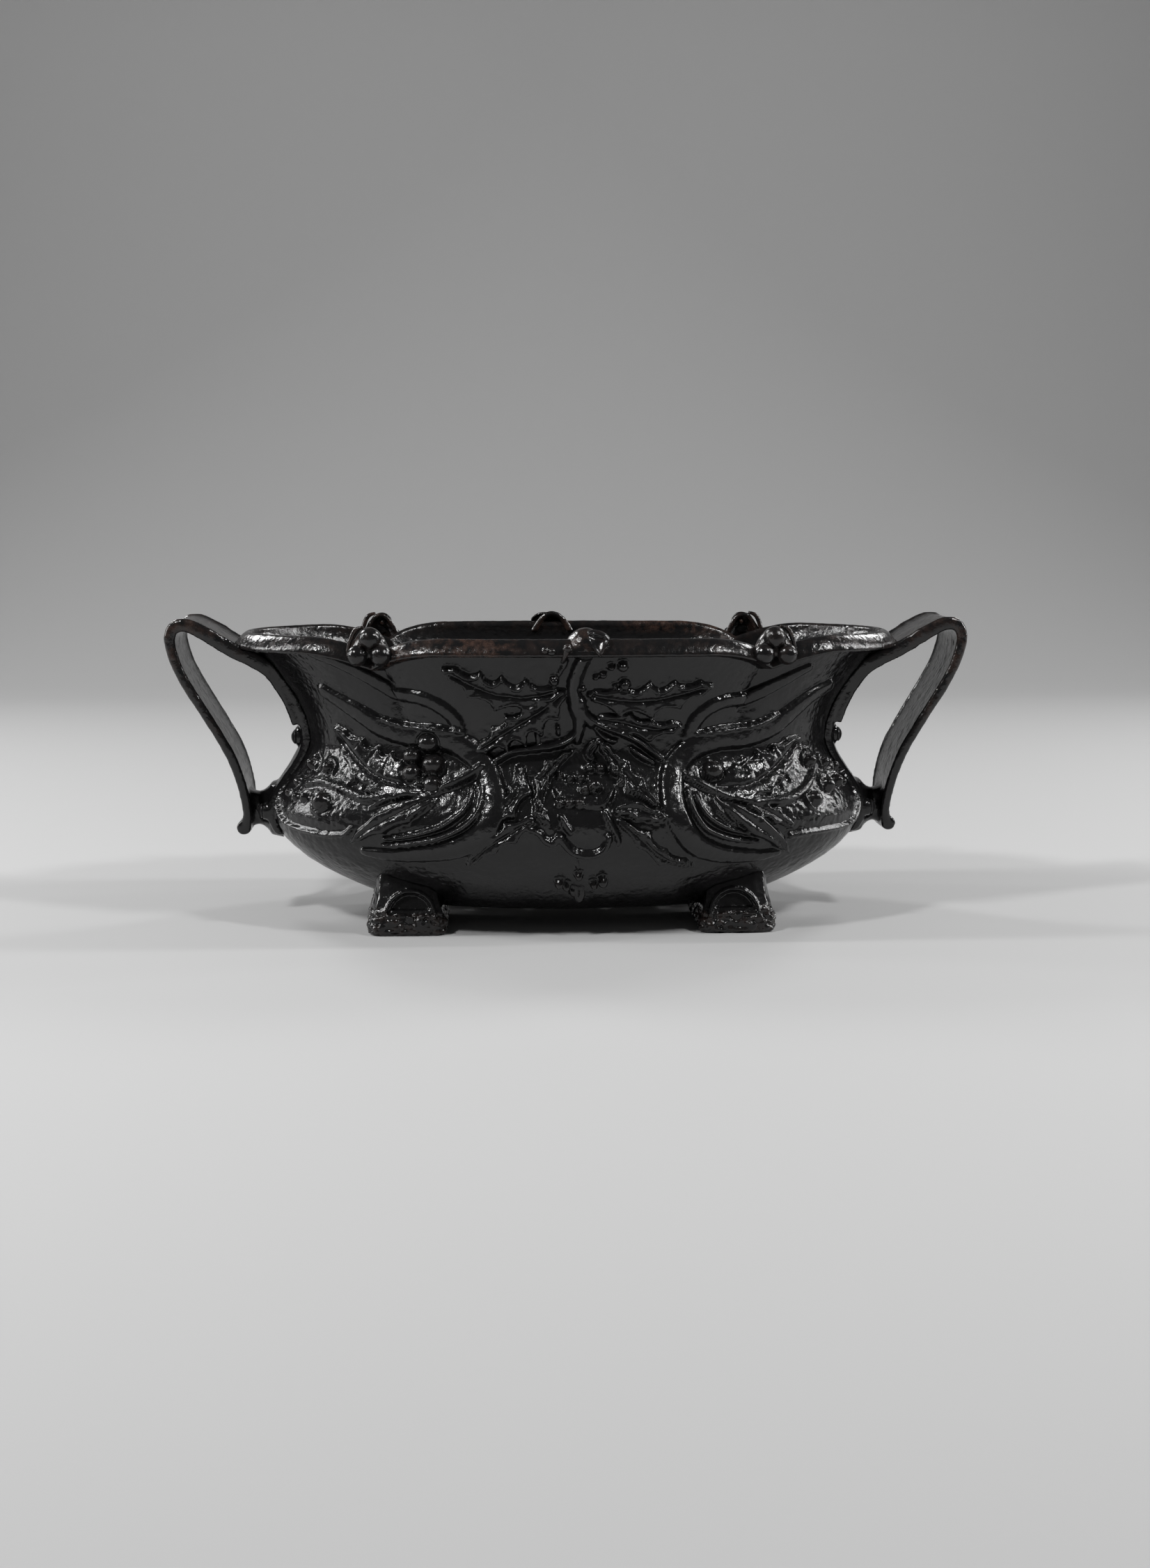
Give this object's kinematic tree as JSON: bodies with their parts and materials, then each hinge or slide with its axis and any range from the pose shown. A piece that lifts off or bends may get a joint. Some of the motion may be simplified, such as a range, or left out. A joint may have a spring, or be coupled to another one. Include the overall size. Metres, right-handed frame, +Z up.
{
  "type": "planter",
  "caption": "Oval cast iron planter with holly ornament in relief, loop handles at its ends and bracket feet; open at the top for plants in soil or a liner.",
  "frame": {"origin": "middle of the planter's footprint, at the height of the surface it stands on", "axes": "+X along the length towards the right handle, -Y towards the front, +Z up"},
  "size_m": [0.4204, 0.1778, 0.1595],
  "materials": {
    "black_iron": "gloss black paint over rough castings, worn brown on the highest edges",
    "floor_iron": "dull black paint",
    "fasteners": "gloss black paint over steel"
  },
  "bodies": {
    "root": {"front_shell": "black_iron", "rear_shell": "black_iron", "left_handle": "black_iron", "right_handle": "black_iron", "foot_front_left": "black_iron", "foot_front_right": "black_iron", "foot_rear_left": "black_iron", "foot_rear_right": "black_iron", "base_plate": "floor_iron", "handle_screws": "fasteners", "handle_nuts": "fasteners", "foot_bolts": "fasteners", "foot_nuts": "fasteners"}
  },
  "joints": []
}
